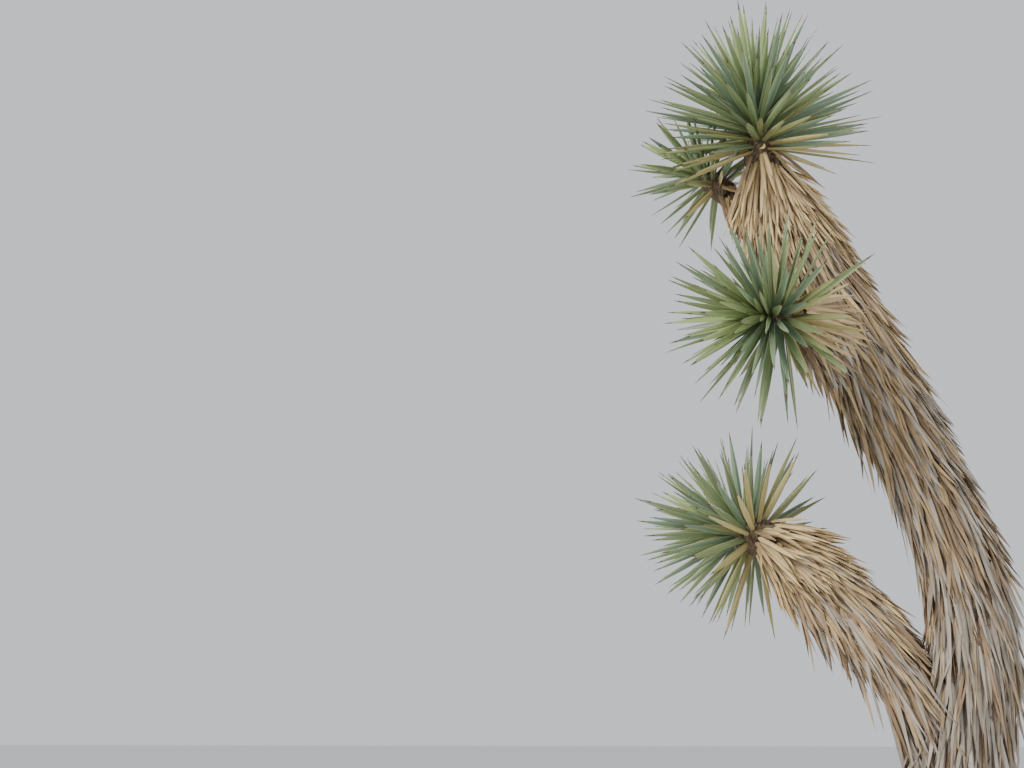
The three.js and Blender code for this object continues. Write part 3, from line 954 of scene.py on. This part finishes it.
# The blunt stem inside a head: its thickness at shares from foot to tip, and its ripple of leaf scars.
STEM = {
    "rows": 24, "columns": 28,
    "shares": (0, 1 / 3, 2 / 3, 0.93, 1.0),
    "thickness": (1.0, 1.0, 0.78, 0.42, 0.12),
    "ripple": 0.08, "ripples": (11, 60), "point": 1.01,
}


def head_stem(name, head):
    """The stem inside a head: a blunt bud-like cone from the limb's tip."""
    foot, axis = head_axis(head)
    share, angle = tube_places(np.linspace(0, 1, STEM["rows"]), STEM["columns"])
    round_it, up_it = STEM["ripples"]
    ripple = np.sin(round_it * angle + up_it * share)
    radius = head["thick"] * np.interp(share, STEM["shares"], STEM["thickness"])
    radius = radius * (1 + STEM["ripple"] * ripple)
    points = foot + axis * (share * head["stem"])[:, None] + outward_at(axis, angle) * radius[:, None]
    ends = np.array([foot, foot + axis * head["stem"] * STEM["point"]])
    # This height picks the stem's colour: painted shade in the troughs of the ripple.
    height = np.append(0.5 + 0.5 * ripple, [0.0, 1.0])
    return closed_tube(name, points, STEM["rows"], STEM["columns"], ends, height, CORE)


# The trunk, with finer rows where its bark shows, and the cores of the boughs.
TRUNK_ROWS = (300, 70)
TRUNK_COLUMNS = 250
CORE_MESHES = {"leader": (240, 96), "lower_bough": (110, 88), "middle_arm": (44, 80), "upper_stub": (36, 56)}

lower_shares = np.linspace(0, BARK_ENDS, TRUNK_ROWS[0])
trunk_shares = np.append(lower_shares, np.linspace(BARK_ENDS, 1, TRUNK_ROWS[1])[1:])
trunk = relief_tube("trunk", trunk_shares, TRUNK_COLUMNS, bark_relief, BARK, "trunk_bark")
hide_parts("trunk")
for name, (rows, columns) in CORE_MESHES.items():
    core = relief_tube(name, np.linspace(0, 1, rows), columns, core_relief, CORE, f"{name}_core")


# The heads of live leaves. Past each age a share of them has turned to an older green.
YOUNG_UNTIL = 0.16
BLUE_SHARE = 0.5
TURNED = ((OLIVE, 0.72, 0.55), (YELLOWING, 0.90, 0.60))


def shade_by_age(age, rng):
    """Which green a leaf has: young at the middle of its head, olive and then yellowing at the foot."""
    green = np.where(rng.random(len(age)) < BLUE_SHARE, GREEN, BLUE_GREEN)
    wanted = np.where(age < YOUNG_UNTIL, YOUNG, green)
    for shade, past, part in TURNED:
        wanted = np.where((age > past) & (rng.random(len(age)) < part), shade, wanted)
    return wanted


for name, head in HEADS.items():
    leaves = clear_of_limbs(joined(head_leaves(head), bud_leaves(head)), head["on"])
    points, triangles, zones, grain = blades(leaves, LIVE_PROFILE)
    rng = default_rng(head["seed"] + OWN_SEED["greens"])
    shade = shade_by_age(leaves["age"], rng)
    materials = [*GREEN_LEAVES, LEAF_EDGE, LEAF_SPINE, LEAF_BASE]
    shade = np.repeat(shade, len(triangles) // len(shade))
    face_material = np.where(zones == BLADE, shade, len(GREEN_LEAVES) + zones - EDGE)
    piece = f"{name}_leaves"
    made = make_mesh(piece, points, triangles, materials, face_material, ("grain", grain), LIVE_SHARP)
    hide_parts(name)
    stem = head_stem(f"{name}_stem", head)


# The thatch. A leaf's weather is a chance from 0 to 1, less with its age, and picks its shade.
AGEING = 0.75
WEATHER = {STRAW: 0.98, TAN: 0.62, BROWN: 0.36, GREY: 0.0}
STRAW_WHERE_FRESH = 0.6
THATCH_PIECE = 2400  # the most leaves in a piece, which keeps it under 200,000 triangles


def shade_by_weather(leaves, limb_name, rng):
    """Which dead shade a leaf has: straw where it is newest, brown further down, and grey with age."""
    age = 1 - leaves["share"] if limb_name != "trunk" else np.ones(len(leaves["share"]))
    weather = rng.random(len(age)) + AGEING * (0.5 - age)
    wanted = np.select([weather > past for past in WEATHER.values()], list(WEATHER), GREY_BROWN)
    return np.where((leaves["fresh"] > 0.5) & (rng.random(len(age)) < STRAW_WHERE_FRESH), STRAW, wanted)


for name, limb in LIMBS.items():
    leaves = thatch_leaves(name, limb)
    skirts = [skirt_leaves(head) for head in HEADS.values() if head["on"] == name]
    leaves = cut_at_limbs(joined(leaves, *skirts), name)
    rng = default_rng(limb["seed"] + OWN_SEED["weather"])
    shade = shade_by_weather(leaves, name, rng)
    count = math.ceil(len(shade) / THATCH_PIECE)
    for i, part in enumerate(np.array_split(np.argsort(leaves["share"], kind="stable"), count)):
        points, triangles, _, grain = blades(chosen(leaves, part), DEAD_PROFILE)
        piece = f"{name}_thatch_{i + 1}" if count > 1 else f"{name}_thatch"
        face_material = np.repeat(shade[part], len(triangles) // len(part))
        made = make_mesh(piece, points, triangles, DEAD_LEAVES, face_material, ("grain", grain), DEAD_SHARP)
        if name != "trunk" and i == 0:
            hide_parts(name)


# The floor, the light and the camera.

FLOOR = {"reach": 300.0, "colour": (0.78, 0.78, 0.76), "roughness": 0.9}
SKY = {"colour": (0.80, 0.83, 0.88), "strength": 0.95}
TREE_MIDDLE = np.array([-0.05, 0.0, 2.3])
LIGHTS = {
    "key": {"place": (-3.8, -4.2, 5.6), "size": 2.4, "power": 620, "colour": (1.0, 0.96, 0.90)},
    "fill": {"place": (4.2, -3.0, 2.6), "size": 3.0, "power": 130, "colour": (0.90, 0.95, 1.0)},
    "rim": {"place": (2.2, 4.4, 5.0), "size": 2.4, "power": 380, "colour": (1.0, 0.93, 0.86)},
}

floor_material, floor_nodes, _ = new_material("floor")
floor_shader = floor_nodes["Principled BSDF"]
floor_shader.inputs["Base Color"].default_value = (*FLOOR["colour"], 1.0)
floor_shader.inputs["Roughness"].default_value = FLOOR["roughness"]
floor_mesh = bpy.data.meshes.new("floor")
corners = FLOOR["reach"] * np.array([(-1, -1, 0), (1, -1, 0), (1, 1, 0), (-1, 1, 0)])
floor_mesh.from_pydata(corners.tolist(), [], [(0, 1, 2, 3)])
floor_mesh.materials.append(floor_material)
floor = bpy.data.objects.new("floor", floor_mesh)
bpy.context.scene.collection.objects.link(floor)

world = bpy.data.worlds.new("studio")
bpy.context.scene.world = world
world.use_nodes = True
sky = world.node_tree.nodes["Background"]
sky.inputs["Color"].default_value = (*SKY["colour"], 1.0)
sky.inputs["Strength"].default_value = SKY["strength"]

for name, light in LIGHTS.items():
    data = bpy.data.lights.new(name, "AREA")
    data.shape = "DISK"
    data.size = light["size"]
    data.energy = light["power"]
    data.color = light["colour"]
    lamp = bpy.data.objects.new(name, data)
    lamp.location = light["place"]
    lamp.rotation_mode = "QUATERNION"
    lamp.rotation_quaternion = Vector(TREE_MIDDLE - light["place"]).to_track_quat("-Z", "Y")
    bpy.context.scene.collection.objects.link(lamp)

# The camera stands where the photograph was taken from: at a standing height, tilted up and turned left.
FOCAL_PIXELS = 1065
PICTURE_WIDTH = 1024
SENSOR_WIDTH = 36.0
CAMERA_PLACE = (0.0859, -2.6186, 1.500)
CAMERA_TILT = 18.5
CAMERA_TURN = 20.0
camera_data = bpy.data.cameras.new("camera")
camera_data.sensor_width = SENSOR_WIDTH
camera_data.lens = SENSOR_WIDTH * FOCAL_PIXELS / PICTURE_WIDTH
camera = bpy.data.objects.new("camera", camera_data)
camera.location = CAMERA_PLACE
camera.rotation_euler = (math.radians(90 + CAMERA_TILT), 0.0, math.radians(CAMERA_TURN))
bpy.context.scene.collection.objects.link(camera)
bpy.context.scene.camera = camera
